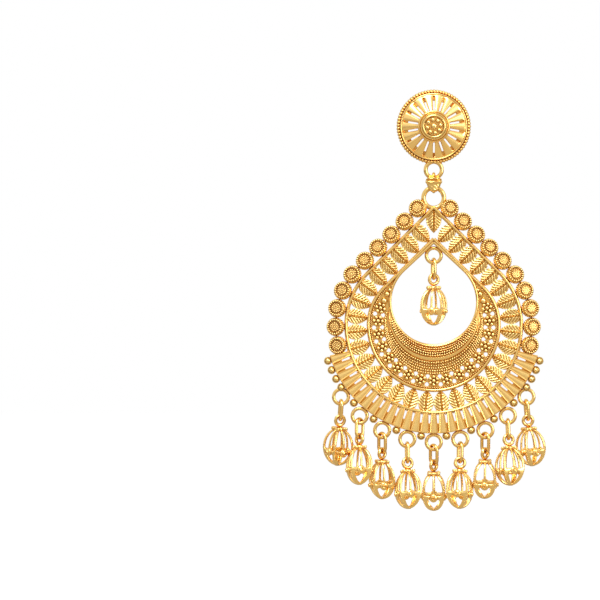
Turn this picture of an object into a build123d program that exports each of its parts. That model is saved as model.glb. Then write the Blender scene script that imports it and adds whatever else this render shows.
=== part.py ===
from build123d import *
import os
from math import cos, degrees, pi, radians, sin, sqrt

os.makedirs("parts", exist_ok=True)

# A gold jhumka earring in millimetres. It hangs in the XZ plane and faces the front, -Y.
# The post runs back along +Y, and the origin is on its axis where the stud's rim meets the lobe.

# ear stud: an open dome of flat petals between a rope rim and a granulated boss
stud_radius = 8.0
rim_wire = 0.55
petal_count = 18
petal_slot = (2.7, 0.55)
slot_middle = 4.75
dome_wall = 0.7
boss_radius = 2.95
boss_back = 2.8
boss_front = 4.0
boss_ring = (2.3, 0.32)
granule_count = 8
granule = (1.5, 0.42)
centre_granule = 0.62
post_radius = 0.45
post_length = 10.5
post_pad = (1.3, 0.9)
post_gap = 0.03

# rings and connector between the stud and the drop, all hung on one line
hang_depth = 0.7
stud_ring = (1.72, 0.45)
stud_ring_height = -9.14
drop_ring = (2.17, 0.5)
drop_ring_height = -15.1
connector_wire = 0.42
connector_bend = 0.98
shield_back = 0.63
shield_front = 1.6
shield_ridge = 0.33

# main drop: a pierced plate whose outlines run round a circle, turn in over a tighter shoulder
# and close straight to a point; each line is its radius, slope in degrees and shoulder offset
centre_height = -42.1
plate_thickness = 1.1
wire_half = 0.45
relief = 0.4
outer_wire = (18.6, 45.3, 3.0)
inner_wire = (13.85, 45.5, 2.8)
opening = (9.0, 47.0, 0.0)
opening_lift = 4.9
leaf_line = (16.3, 44.5, 3.4)
leaf_count = 16
leaf_pitch = 3.22
leaf_half = 1.68
leaf_reach = 2.35
top_leaf_height = 21.95
cup_line = (20.8, 45.3, 3.0)
cup_count = 10
cup_pitch = 3.95
cup_start = 4.7
cup_radius = 1.88
cup_rise = 0.62
cup_groove = 0.4
flower_circle = 11.85
flower_step = 13.45
flower_count = 17
crescent_arc = (9.8, 1.5)
crescent_centre = 3.2
crescent_height = 1.5
crescent_inset = 0.15
horn_beads = ((26.0, 11.7, 0.72), (33.5, 11.85, 0.6), (38.5, 11.93, 0.42))

# fringe of tapered rays, with cups and hanging loops on its edge
ray_count = 29
ray_step = 5.09
ray_reach = (18.6, 23.0)
ray_half = (0.57, 0.96)
web = (21.3, 22.8)
edge_bead = (23.7, 0.87)
edge_bead_step = 0.25
loop_count = 9
loop_step = 13.06
loop_circle = 24.9
loop_ring = (1.57, 0.38)
inner_loop_height = 14.75

# drops: an oval link and a four-sided openwork cage on each loop
link_wire = 0.36
link_bend = 1.16
link_height = 4.1
hang_gap = 0.05
turned_gap = 0.45
cage_ring = (1.0, 0.36)
collar_drop = 1.25
collar_thickness = 0.6
cage_height = 8.2
cage_half = 2.42
cage_wall = 0.6
cage_rib = 0.55
boss_drop = 0.75
cage_boss = (1.0, 0.45)

# how each drop hangs, from left to right, in degrees: the link's turn from edge-on, the turn of the
# cage's ring from face-on, the cage's own turn, and its lean forward and to the right
drop_rows = (
    ("1", 10, 22, 31, -9.4, -3.6),
    ("2", -36, -50, 10.6, 8.6, -0.6),
    ("3", 36, 50, 10.6, -6.3, 0),
    ("4", 8, 20, 12.8, 8.4, 1.0),
    ("5", 36, 50, -2.8, -8.3, 0.2),
    ("6", 18, 0, -16, 8.0, -1.1),
    ("7", 36, 50, -1.9, -8.8, -0.5),
    ("8", 6, 16, 22.1, 7.8, 2.3),
    ("9", 12, 2, 25.7, -5.2, 5.7),
)
centre_row = ("centre", 12, 24, -14, 0, 0)


def front(depth):
    return Plane.XZ.offset(depth)


def drop_plane(depth):
    return Plane(origin=(0, -depth, centre_height), x_dir=(1, 0, 0), z_dir=(0, -1, 0))


def on_circle(radius, turn):
    # turn is measured in degrees from straight down
    return (radius * sin(radians(turn)), -radius * cos(radians(turn)))


def along_line(line, run):
    # place and outward direction at a run up the right side from the lowest point
    radius, slope, shoulder = line
    side = radius - shoulder
    low, high = radius * pi / 2, radius * pi / 2 + side * radians(slope)
    if run <= low:
        outward = -pi / 2 + run / radius
        return radius * cos(outward), radius * sin(outward), degrees(outward)
    outward = min(radians(slope), (run - low) / side)
    over = max(0.0, run - high)
    x = shoulder + side * cos(outward) - over * sin(outward)
    y = side * sin(outward) + over * cos(outward)
    return x, y, degrees(outward)


def line_length(line):
    radius, slope, shoulder = line[0], radians(line[1]), line[2]
    side = radius - shoulder
    return radius * pi / 2 + side * slope + (shoulder + side * cos(slope)) / sin(slope)


def both_sides(places):
    # a location for each place and its mirror image, with local X pointing outward
    right = [Location((x, y, 0), (0, 0, outward)) for x, y, outward in places]
    left = [Location((-x, y, 0), (0, 0, 180 - outward)) for x, y, outward in places]
    return right + left


def teardrop(line, grow=0.0, lift=0.0, mode=Mode.ADD):
    radius, slope, shoulder = line[0] + grow, radians(line[1]), line[2]
    side = radius - shoulder
    side_x, side_y = shoulder + side * cos(slope), lift + side * sin(slope)
    middle_x, middle_y = shoulder + side * cos(slope / 2), lift + side * sin(slope / 2)
    apex = lift + (side + shoulder * cos(slope)) / sin(slope)
    with BuildLine() as outline:
        Line((0, apex), (side_x, side_y))
        ThreePointArc((side_x, side_y), (middle_x, middle_y), (radius, lift))
        ThreePointArc((radius, lift), (0, lift - radius), (-radius, lift))
        ThreePointArc((-radius, lift), (-middle_x, middle_y), (-side_x, side_y))
        Line((-side_x, side_y), (0, apex))
    make_face(outline.edges(), mode=mode)


def leaf_outline(scale=1.0):
    tip, belly, end = 0.72 * scale, leaf_half * scale, 1.1 * scale
    reach = leaf_reach * scale
    with BuildLine() as outline:
        ThreePointArc((-reach, tip), (0.25, belly), (reach, end))
        Line((reach, end), (reach, -end))
        ThreePointArc((reach, -end), (0.25, -belly), (-reach, -tip))
        Line((-reach, -tip), (-reach, tip))
    make_face(outline.edges())


def ring(place, size):
    with Locations(place):
        Torus(size[0], size[1], rotation=(90, 0, 0))


def link_path(bend, height):
    # an upright oval in the YZ plane about its own middle
    half = height / 2 - bend
    with BuildLine(Plane.YZ) as path:
        Line((bend, -half), (bend, half))
        ThreePointArc((bend, half), (0, half + bend), (-bend, half))
        Line((-bend, half), (-bend, -half))
        ThreePointArc((-bend, -half), (0, -half - bend), (bend, -half))
    return path.line


def oval_link(bend, height, wire):
    path = link_path(bend, height)
    with BuildPart() as link:
        with BuildSketch(Plane(origin=(0, bend, 0), x_dir=(1, 0, 0), z_dir=(0, 0, 1))):
            Circle(wire)
        sweep(path=path)
    return link.part


def vault(half_width, half_height):
    # two crossed oval prisms: the square ovoid of a cage
    with BuildPart() as body:
        with BuildSketch(Plane.XZ):
            Ellipse(half_width, half_height)
        extrude(amount=2 * half_width, both=True)
        with BuildSketch(Plane.YZ):
            Ellipse(half_width, half_height)
        extrude(amount=2 * half_width, both=True, mode=Mode.INTERSECT)
    return body.part


# ---- ear stud
with BuildPart() as stud:
    with BuildSketch(Plane.XY):
        with Locations((stud_radius - rim_wire, -rim_wire)):
            Circle(rim_wire)
        Polygon(
            (stud_radius - 0.75, -0.75),
            (boss_radius - 0.2, -boss_back - dome_wall),
            (boss_radius - 0.2, -boss_back),
            (stud_radius - 0.75, -0.75 + dome_wall),
            align=None,
        )
        Polygon(
            (0, -boss_back),
            (boss_radius, -boss_back),
            (boss_radius, -boss_front + 0.3),
            (boss_radius - 0.3, -boss_front),
            (0, -boss_front),
            align=None,
        )
        Polygon(
            (0, -boss_back),
            (0, -boss_back + post_pad[1]),
            (post_pad[0], -boss_back + post_pad[1]),
            (post_pad[0], -boss_back),
            align=None,
        )
    revolve(axis=Axis.Y)
    with BuildSketch(front(0)):
        with PolarLocations(slot_middle, petal_count, start_angle=10):
            SlotOverall(*petal_slot)
    extrude(amount=stud_radius, mode=Mode.SUBTRACT)
    ring((0, -boss_front, 0), boss_ring)
    with Locations(front(boss_front)):
        with PolarLocations(granule[0], granule_count):
            Sphere(granule[1])
        Sphere(centre_granule)
    ring((0, -hang_depth, stud_ring_height), stud_ring)
stud.part.label = "ear_stud"

with BuildPart() as post:
    with BuildSketch(front(boss_back - post_pad[1] - post_gap)):
        Circle(post_radius)
    extrude(amount=-(post_length + boss_back - post_pad[1] - post_gap))
    chamfer(post.edges().sort_by(Axis.Y)[-1], 0.2)
post.part.label = "ear_post"

# ---- connector: a wire link with a ridged shield on its front
upper_bend_height = stud_ring_height - stud_ring[0]
lower_bend_height = drop_ring_height + drop_ring[0]
connector_height = upper_bend_height - lower_bend_height + 2 * connector_bend
connector_middle = (upper_bend_height + lower_bend_height) / 2
connector_link = oval_link(connector_bend, connector_height, connector_wire)
with BuildPart() as connector:
    with Locations((0, -hang_depth, connector_middle)):
        add(connector_link)
    with BuildSketch(front(hang_depth + shield_back)):
        with BuildLine():
            Polyline(
                (0, upper_bend_height + 0.55),
                (0.85, upper_bend_height + 0.45),
                (1.7, upper_bend_height - 0.35),
                (1.6, upper_bend_height - 1.1),
                (0.62, lower_bend_height - 0.85),
                (0, lower_bend_height - 0.95),
            )
            mirror(about=Plane.YZ)
        make_face()
    extrude(amount=shield_front - shield_back)
    for drop_below in (0.3, 0.95):
        with Locations((0, -hang_depth - shield_front, upper_bend_height - drop_below)):
            Cylinder(shield_ridge, 3.1 - drop_below / 2, rotation=(0, 90, 0))
connector.part.label = "connector"

# ---- crescent: a puffed moon along the lower edge of the opening
plate_front = hang_depth + plate_thickness / 2
plate_back = hang_depth - plate_thickness / 2


def reach_to_circle(turn, radius, middle):
    # distance from the crescent's own centre to a circle whose middle is on the axis
    offset = middle - crescent_centre
    along = -offset * cos(radians(turn))
    return along + sqrt(along**2 - offset**2 + radius**2)


with BuildPart() as crescent:
    for turn in (-98, -80, -58, -30, 0, 30, 58, 80, 98):
        inner = reach_to_circle(turn, opening[0] + crescent_inset, opening_lift)
        outer = reach_to_circle(turn, crescent_arc[0], crescent_arc[1])
        outward = Vector(sin(radians(turn)), 0, -cos(radians(turn)))
        origin = (0, -plate_front, centre_height + crescent_centre)
        rise = crescent_height * min(1.0, (outer - inner) / 3.0)
        with BuildSketch(Plane(origin=origin, x_dir=outward, z_dir=outward.cross(Vector(0, -1, 0)))):
            with BuildLine():
                ThreePointArc((inner, 0), ((inner + outer) / 2, rise), (outer, 0))
                Polyline((outer, 0), (outer, -0.3), (inner, -0.3), (inner, 0))
            make_face()
    loft()

# ---- main drop plate, cast in one with its wires, leaves, cups, flowers, rays and loops
leaf_places = [along_line(leaf_line, (k + 0.5) * leaf_pitch) for k in range(leaf_count)]
cup_runs = [line_length(cup_line) - cup_start - k * cup_pitch for k in range(cup_count)]
cup_places = [along_line(cup_line, run) for run in cup_runs]
ray_turns = [ray_step * (k - (ray_count - 1) / 2) for k in range(ray_count)]
ray_places = [Location((*on_circle(ray_reach[0], t), 0), (0, 0, t - 90)) for t in ray_turns]
flower_turns = [flower_step * (k - (flower_count - 1) / 2) for k in range(flower_count)]
flower_places = [Location((*on_circle(flower_circle, t), 0), (0, 0, t)) for t in flower_turns]
loop_turns = [loop_step * (k - (loop_count - 1) / 2) for k in range(loop_count)]
bead_turns = [loop_step * (k - loop_count / 2 + 1) for k in range(loop_count - 1)]
bead_turns += [side * ray_step * k for side in (-1, 1) for k in (11, 12, 13, 14)]


def ray_outline():
    length = ray_reach[1] - ray_reach[0]
    Polygon(
        (0, ray_half[0]), (length, ray_half[1]), (length, -ray_half[1]), (0, -ray_half[0]), align=None
    )


def in_drop(point):
    return (point[0], -hang_depth, centre_height + point[1])


leaf_spots = both_sides(leaf_places) + [Location((0, top_leaf_height, 0), (0, 0, 90))]
cup_spots = both_sides(cup_places)
bead_spots = [on_circle(edge_bead[0], turn) for turn in bead_turns]

with BuildSketch() as leaf:
    leaf_outline()
with BuildSketch() as small_leaf:
    leaf_outline(0.8)
with BuildSketch() as ray:
    ray_outline()
with BuildSketch() as flower:
    with PolarLocations(0.86, 6):
        Circle(0.42)
    Circle(0.5)
with BuildSketch() as outer_band:
    teardrop(outer_wire, wire_half)
    teardrop(outer_wire, -wire_half, mode=Mode.SUBTRACT)
with BuildSketch() as inner_band:
    teardrop(inner_wire, wire_half)
    teardrop(inner_wire, -wire_half, mode=Mode.SUBTRACT)

with BuildSketch() as pierced_outline:
    add(outer_band.sketch)
    with Locations(*leaf_spots):
        add(leaf.sketch)
    teardrop(inner_wire, wire_half)
    teardrop(opening, lift=opening_lift, mode=Mode.SUBTRACT)
    with Locations(*cup_spots):
        Circle(cup_radius)
    with Locations(*ray_places):
        add(ray.sketch)
    with Locations(*bead_spots):
        Circle(edge_bead[1])
    with BuildLine():
        reach = ray_turns[-1]
        CenterArc((0, 0), web[1], -90 - reach, 2 * reach)
        CenterArc((0, 0), web[0], -90 - reach, 2 * reach)
        Line(on_circle(web[0], -reach), on_circle(web[1], -reach))
        Line(on_circle(web[0], reach), on_circle(web[1], reach))
    make_face()

with BuildSketch() as raised_outline:
    add(outer_band.sketch)
    add(inner_band.sketch)
    with Locations(*leaf_spots):
        add(small_leaf.sketch)
    with Locations(*ray_places):
        add(ray.sketch)
    with Locations(*flower_places):
        add(flower.sketch)
    with Locations(*bead_spots):
        Circle(edge_bead[1] - edge_bead_step)

with BuildPart() as fittings:
    with BuildSketch(drop_plane(plate_front - plate_thickness / 2)):
        with Locations(*cup_spots):
            Circle(cup_radius)
    extrude(amount=plate_thickness / 2 + cup_rise)
    with BuildSketch(drop_plane(plate_front + cup_rise)):
        with Locations(*cup_spots):
            Circle(cup_radius - 0.35)
            Circle(cup_radius - 0.9, mode=Mode.SUBTRACT)
    extrude(amount=-cup_groove, mode=Mode.SUBTRACT)
    for elevation, radius, size in horn_beads:
        with Locations(*[in_drop(on_circle(radius, turn)) for turn in (90 + elevation, -90 - elevation)]):
            Sphere(size + plate_thickness / 2 - 0.3)
    with Locations(*[in_drop(on_circle(loop_circle, turn)) for turn in loop_turns]):
        Torus(*loop_ring, rotation=(90, 0, 0))
    ring(in_drop((0, inner_loop_height)), loop_ring)
    ring((0, -hang_depth, drop_ring_height), drop_ring)

with BuildPart() as drop_frame:
    with BuildSketch(drop_plane(plate_back)):
        add(pierced_outline.sketch)
    extrude(amount=plate_thickness)
    with BuildSketch(drop_plane(plate_front)):
        add(raised_outline.sketch)
    extrude(amount=relief)
    add([crescent.part, fittings.part])
drop_frame.part.label = "drop_frame"

# ---- links and cages
loop_bottom = -loop_ring[0]
cage_middle = -(collar_drop + collar_thickness - 0.25) - cage_height / 2

plain_link = oval_link(link_bend, link_height, link_wire)
cage_outside = vault(cage_half, cage_height / 2)
cage_inside = vault(cage_half - cage_wall, cage_height / 2 - cage_wall)


def cage_windows():
    # two tall windows beside a thin rib, and a small one under the boss
    with BuildSketch(mode=Mode.PRIVATE) as tall:
        Ellipse(cage_half - cage_rib, cage_height / 2 - 0.8)
        with Locations((0, -cage_height / 2 + 0.2)):
            Rectangle(2 * cage_half, cage_height, mode=Mode.SUBTRACT)
        Rectangle(cage_rib, cage_height, mode=Mode.SUBTRACT)
    add(tall.sketch)
    Polygon((-0.85, -1.75), (0.85, -1.75), (0, -3.1), align=None)


with BuildPart() as cage:
    add(cage_outside)
    add(cage_inside, mode=Mode.SUBTRACT)
    for side in (Plane.XZ, Plane.YZ):
        with BuildSketch(side):
            cage_windows()
        extrude(amount=2 * cage_half, both=True, mode=Mode.SUBTRACT)
    for turn in (0, 90, 180, 270):
        outward = Vector(cos(radians(turn)), sin(radians(turn)), 0)
        seat = outward * (cage_half - cage_wall) - Vector(0, 0, boss_drop)
        with BuildSketch(Plane(origin=seat, z_dir=outward)):
            Circle(cage_boss[0])
        extrude(amount=cage_wall + cage_boss[1])
        with BuildSketch(Plane(origin=seat + outward * (cage_wall + cage_boss[1]), z_dir=outward)):
            Circle(cage_boss[0] / 2)
        extrude(amount=-cage_boss[1], mode=Mode.SUBTRACT)
    with BuildSketch(Plane.XY.offset(-collar_drop - collar_thickness - cage_middle)):
        Circle(1.0)
        with PolarLocations(1.4, 4, start_angle=45):
            Circle(0.45)
    extrude(amount=collar_thickness)


def hang(solid, loop_place, turn, lean, sway):
    # turns a solid about its own vertical, then leans it about the loop's lowest wire
    turned = Pos(0, 0, -loop_bottom) * solid.rotate(Axis.Z, turn)
    leaned = turned.rotate(Axis.X, -lean).rotate(Axis.Y, -sway)
    return Pos(*loop_place) * Pos(0, 0, loop_bottom) * leaned


def make_drop(name, loop_place, link_turn, ring_turn, cage_turn, lean, sway):
    # a link turned towards the loop's plane hangs a little lower
    slack = hang_gap + turned_gap * sin(radians(link_turn)) ** 2
    link_top = loop_bottom + loop_ring[1] + link_wire + slack
    ring_top = link_top - link_height + link_wire + cage_ring[1] + hang_gap
    ring_middle = ring_top - cage_ring[0]
    link = hang(Pos(0, 0, link_top - link_height / 2) * plain_link, loop_place, link_turn, lean, sway)
    with BuildPart() as drop:
        with Locations((0, 0, ring_middle + cage_middle)):
            add(cage.part)
        with Locations(Location((0, 0, ring_middle), (0, 0, ring_turn - cage_turn))):
            Torus(*cage_ring, rotation=(90, 0, 0))
    cage_drop = hang(drop.part, loop_place, cage_turn, lean, sway)
    for label, solid in ((f"link_{name}", link), (f"cage_{name}", cage_drop)):
        solid.label = label
        export_step(solid, f"parts/{label}.step")


for turn, row in zip(loop_turns, drop_rows):
    make_drop(row[0], in_drop(on_circle(loop_circle, turn)), *row[1:])
make_drop(centre_row[0], in_drop((0, inner_loop_height)), *centre_row[1:])

export_step(stud.part, "parts/ear_stud.step")
export_step(post.part, "parts/ear_post.step")
export_step(connector.part, "parts/connector.step")
export_step(drop_frame.part, "parts/drop_frame.step")
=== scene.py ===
from math import ceil, cos, exp, pi, radians, sin, sqrt

import bmesh
import bpy
from mathutils import Matrix, Vector


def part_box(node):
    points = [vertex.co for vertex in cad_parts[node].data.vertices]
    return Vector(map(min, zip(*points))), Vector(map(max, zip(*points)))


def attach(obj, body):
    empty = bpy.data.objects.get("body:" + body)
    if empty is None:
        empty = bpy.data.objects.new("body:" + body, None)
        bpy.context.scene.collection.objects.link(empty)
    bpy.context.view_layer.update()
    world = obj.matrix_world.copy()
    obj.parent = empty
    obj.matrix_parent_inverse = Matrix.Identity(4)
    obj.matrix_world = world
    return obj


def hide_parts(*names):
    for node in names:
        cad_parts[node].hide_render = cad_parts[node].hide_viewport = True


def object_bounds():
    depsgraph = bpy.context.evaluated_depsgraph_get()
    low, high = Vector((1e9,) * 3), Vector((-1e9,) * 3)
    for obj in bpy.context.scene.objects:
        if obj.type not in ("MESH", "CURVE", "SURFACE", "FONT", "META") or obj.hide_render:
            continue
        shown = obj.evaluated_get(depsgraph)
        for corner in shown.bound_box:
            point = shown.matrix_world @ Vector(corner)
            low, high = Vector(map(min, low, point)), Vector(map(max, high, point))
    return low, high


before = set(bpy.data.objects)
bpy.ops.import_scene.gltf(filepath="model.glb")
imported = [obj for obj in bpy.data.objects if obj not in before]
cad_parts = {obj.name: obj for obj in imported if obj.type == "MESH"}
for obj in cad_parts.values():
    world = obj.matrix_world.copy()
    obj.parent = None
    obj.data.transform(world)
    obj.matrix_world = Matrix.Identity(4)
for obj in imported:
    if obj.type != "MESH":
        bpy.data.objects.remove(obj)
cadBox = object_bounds()
print("frame loaded")

# Pieces are shaped in millimetres on flat guides that face +Z, then placed on the earring in metres.
mm = 0.001
scene = bpy.context.scene


# ---- small tools: node trees written as sums, guides, and turned or cast forms

class Wire:
    # one output socket; sums with it add Math nodes
    def __init__(self, net, socket):
        self.net = net
        self.socket = socket

    def sum(self, operation, first, second):
        return self.net.add("ShaderNodeMath", (first, second), operation=operation)

    def __add__(self, other):
        return self.sum("ADD", self, other)

    def __radd__(self, other):
        return self.sum("ADD", other, self)

    def __sub__(self, other):
        return self.sum("SUBTRACT", self, other)

    def __rsub__(self, other):
        return self.sum("SUBTRACT", other, self)

    def __mul__(self, other):
        return self.sum("MULTIPLY", self, other)

    def __pow__(self, other):
        return self.sum("POWER", self, other)


class Net:
    # adds nodes to one tree
    def __init__(self, tree):
        self.tree = tree
        self.tree.nodes.clear()

    def add(self, kind, inputs=(), out=0, **settings):
        node = self.tree.nodes.new(kind)
        for name, value in settings.items():
            setattr(node, name, value)
        pairs = inputs.items() if isinstance(inputs, dict) else enumerate(inputs)
        for key, value in pairs:
            if isinstance(value, Wire):
                self.tree.links.new(value.socket, node.inputs[key])
            else:
                node.inputs[key].default_value = value
        return Wire(self, node.outputs[out]) if len(node.outputs) else node

    def mixColour(self, share, first, second):
        return self.add("ShaderNodeMix", {0: share, 6: first, 7: second}, out=2, data_type="RGBA")

    def vector(self, x, y, z):
        return self.add("ShaderNodeCombineXYZ", (x, y, z))

    def named(self, name):
        return self.add("GeometryNodeInputNamedAttribute", (name,), data_type="FLOAT_VECTOR")


def linear(colour):
    # a colour picked on screen, as the shader needs it
    parts = [c / 12.92 if c <= 0.04045 else ((c + 0.055) / 1.055) ** 2.4 for c in colour]
    return (*parts, 1.0)


def moved(x, y, z):
    return Matrix.Translation((x, y, z))


def spun(turn, axis="Z"):
    return Matrix.Rotation(radians(turn), 4, axis)


def turnedTo(direction):
    # turns +Z to a direction
    return Vector(direction).to_track_quat("Z", "Y").to_matrix().to_4x4()


def inScene(name, data):
    thing = bpy.data.objects.new(name, data)
    scene.collection.objects.link(thing)
    return thing


def plainMesh(holder):
    # the mesh that an object and its modifiers give, in place of the object
    bpy.context.view_layer.update()
    depsgraph = bpy.context.evaluated_depsgraph_get()
    mesh = bpy.data.meshes.new_from_object(holder.evaluated_get(depsgraph))
    bpy.data.objects.remove(holder)
    return mesh


def mend(mesh, weld=0.0):
    # joins points that meet, and turns the faces outwards
    work = bmesh.new()
    work.from_mesh(mesh)
    if weld:
        bmesh.ops.remove_doubles(work, verts=work.verts, dist=weld)
    bmesh.ops.recalc_face_normals(work, faces=work.faces)
    work.to_mesh(mesh)
    work.free()


def coat(mesh, finish):
    mesh.materials.clear()
    mesh.materials.append(gold[finish])
    return mesh


guideLabels = ("outward", "turn", "size")


def guide(name, paths=(), spots=()):
    # paths are (points, closed, outward), spots are (point, euler, scale)
    points, edges, outwards, turns, sizes = [], [], [], [], []
    for path, closed, outward in paths:
        start = len(points)
        points += path
        edges += [(start + k, start + k + 1) for k in range(len(path) - 1)]
        if closed:
            edges.append((start + len(path) - 1, start))
        for place in path:
            outwards += list(outward(place) if callable(outward) else outward)
    for point, turn, size in spots:
        points.append(point)
        turns += list(turn)
        sizes += list(size)
    mesh = bpy.data.meshes.new(name)
    mesh.from_pydata(points, edges, [])
    for label, values in zip(guideLabels, (outwards, turns, sizes)):
        if values:
            mesh.attributes.new(label, "FLOAT_VECTOR", "POINT").data.foreach_set("vector", values)
    return mesh


def grow(name, mesh, build, sizes, finish):
    # runs a geometry tree on a guide and gives back the plain mesh
    socketKinds = {int: "NodeSocketInt", float: "NodeSocketFloat", bpy.types.Object: "NodeSocketObject"}
    tree = bpy.data.node_groups.new(name, "GeometryNodeTree")
    tree.interface.new_socket("Geometry", in_out="OUTPUT", socket_type="NodeSocketGeometry")
    tree.interface.new_socket("Geometry", in_out="INPUT", socket_type="NodeSocketGeometry")
    for label, value in sizes.items():
        tree.interface.new_socket(label, in_out="INPUT", socket_type=socketKinds[type(value)])
    net = Net(tree)
    start = tree.nodes.new("NodeGroupInput")
    given = {socket.name: Wire(net, socket) for socket in start.outputs if socket.name}
    whole = net.add("GeometryNodeRealizeInstances", (build(net, given),))
    painted = net.add("GeometryNodeSetMaterial", {"Geometry": whole, "Material": gold[finish]})
    net.add("NodeGroupOutput", (painted,))
    holder = inScene(name, mesh)
    modifier = holder.modifiers.new(name, "NODES")
    modifier.node_group = tree
    for item in tree.interface.items_tree:
        if item.in_out == "INPUT" and item.name in sizes:
            modifier[item.identifier] = sizes[item.name]
    return coat(plainMesh(holder), finish)


def wireTree(net, size):
    # sweeps a rounded bar along the guide, its depth along the outward direction
    path = net.add("GeometryNodeMeshToCurve", (size["Geometry"],))
    normal = {"Curve": path, "Normal": net.named("outward")}
    aimed = net.add("GeometryNodeSetCurveNormal", normal, mode="FREE")
    sides = {"Width": size["Depth"], "Height": size["Width"]}
    bar = net.add("GeometryNodeCurvePrimitiveQuadrilateral", sides)
    corners = {"Curve": bar, "Count": size["Corner"], "Radius": size["Edge"]}
    rounded = net.add("GeometryNodeFilletCurve", corners, mode="POLY")
    sweep = {"Curve": aimed, "Profile Curve": rounded, "Fill Caps": True}
    swept = net.add("GeometryNodeCurveToMesh", sweep)
    return net.add("GeometryNodeSetShadeSmooth", (swept,))


def beadTree(net, size):
    # a row of beads along the guide, turned along it and leaned like the strands of a rope
    path = net.add("GeometryNodeMeshToCurve", (size["Geometry"],))
    steps = {"Curve": path, "Length": size["Pitch"]}
    spots = net.add("GeometryNodeResampleCurve", steps, mode="LENGTH")
    ball = {"Segments": size["Sides"], "Rings": 6, "Radius": size["Bead"]}
    bead = net.add("GeometryNodeMeshUVSphere", ball)
    smooth = net.add("GeometryNodeSetShadeSmooth", (bead,))
    along = net.add("GeometryNodeInputTangent")
    aimed = net.add("FunctionNodeAlignRotationToVector", {"Vector": along}, axis="X")
    lean = net.vector(0.0, 0.0, size["Lean"])
    leaned = net.add("FunctionNodeRotateRotation", (aimed, lean), rotation_space="LOCAL")
    limits = {2: 1 - size["Spread"], 3: 1.0, "Seed": size["Seed"]}
    chance = net.add("FunctionNodeRandomValue", limits, out=1, data_type="FLOAT")
    scale = net.vector(chance * size["Stretch"], chance, chance)
    row = {"Points": spots, "Instance": smooth, "Rotation": leaned, "Scale": scale}
    return net.add("GeometryNodeInstanceOnPoints", row)


def ornamentTree(net, size):
    # the same ornament on every spot of the guide
    ornament = net.add("GeometryNodeObjectInfo", {"Object": size["Ornament"]}, out="Geometry")
    turn = net.add("FunctionNodeEulerToRotation", (net.named("turn"),))
    spots = {"Points": size["Geometry"], "Instance": ornament, "Rotation": turn, "Scale": net.named("size")}
    return net.add("GeometryNodeInstanceOnPoints", spots)


def wires(name, paths, width, depth, edge, finish, corner=3):
    sizes = {"Width": width, "Depth": depth, "Edge": edge, "Corner": corner}
    return grow(name, guide(name, paths=paths), wireTree, sizes, finish)


def roundWires(name, paths, radius, finish, blunt=0.02, corner=4):
    # wires of a round section, whose corner is a little smaller than the radius
    return wires(name, paths, 2 * radius, 2 * radius, radius - blunt, finish, corner)


def beads(name, paths, pitch, bead, finish, stretch=1.0, lean=0.0, spread=0.12, sides=8, seed=3):
    sizes = {"Pitch": pitch, "Bead": bead, "Stretch": stretch, "Lean": radians(lean)}
    sizes.update({"Spread": spread, "Sides": sides, "Seed": seed})
    return grow(name, guide(name, paths=paths), beadTree, sizes, finish)


def ornaments(name, mesh, spots):
    stamp = inScene(name + "Stamp", mesh)
    finish = mesh.materials[0].name
    grown = grow(name, guide(name, spots=spots), ornamentTree, {"Ornament": stamp}, finish)
    bpy.data.objects.remove(stamp)
    return grown


def lathe(profile, sides):
    # turns (radius, height) about Z; a radius of 0 closes the end
    points, rings, faces = [], [], []
    for radius, height in profile:
        if radius == 0:
            rings.append([len(points)] * sides)
            points.append((0, 0, height))
        else:
            rings.append([len(points) + k for k in range(sides)])
            turns = [2 * pi * k / sides for k in range(sides)]
            points += [(radius * cos(a), radius * sin(a), height) for a in turns]
    for lower, upper in zip(rings, rings[1:]):
        for k in range(sides):
            after = (k + 1) % sides
            faces.append(list(dict.fromkeys([lower[k], lower[after], upper[after], upper[k]])))
    return points, faces


def unitBall(sides):
    steps = [pi * k / 8 for k in range(9)]
    return lathe([(0 if k in (0, 8) else sin(a), -cos(a)) for k, a in enumerate(steps)], sides)


def casting(rows, back=None, wall=0.0):
    # a relief grid closed by walls, down to a flat back or to a back that follows it
    across = len(rows[0])
    points = [point for row in rows for point in row]
    faces = []
    for i in range(len(rows) - 1):
        for k in range(across - 1):
            first = i * across + k
            faces.append([first, first + 1, first + 1 + across, first + across])
    last = len(points) - across
    rim = list(range(across)) + [across * (i + 1) - 1 for i in range(1, len(rows))]
    rim += [last + k for k in range(across - 2, -1, -1)] + [across * i for i in range(len(rows) - 2, 0, -1)]
    start = len(points)
    if back is None:
        points += [(x, y, z - wall) for x, y, z in points]
        faces += [[start + i for i in reversed(face)] for face in faces]
        below = [start + i for i in rim]
    else:
        points += [(points[i][0], points[i][1], back) for i in rim]
        below = [start + k for k in range(len(rim))]
        faces.append(below)
    for k in range(len(rim)):
        after = (k + 1) % len(rim)
        faces.append([rim[after], rim[k], below[k], below[after]])
    return points, faces


def cast(name, forms, finish, sharpAngle):
    # joins forms, each ((points, faces), place), into one mesh
    mesh = bpy.data.meshes.new(name)
    points, faces = [], []
    for form, place in forms:
        start = len(points)
        points += [place @ Vector(point) for point in form[0]]
        faces += [[start + i for i in face] for face in form[1]]
    mesh.from_pydata(points, [], faces)
    mend(mesh)
    mesh.shade_smooth()
    mesh.set_sharp_from_angle(angle=radians(sharpAngle))
    return coat(mesh, finish)


def granule(sides):
    return cast("granule", [(unitBall(sides), Matrix())], "goldGranule", 180)


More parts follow.
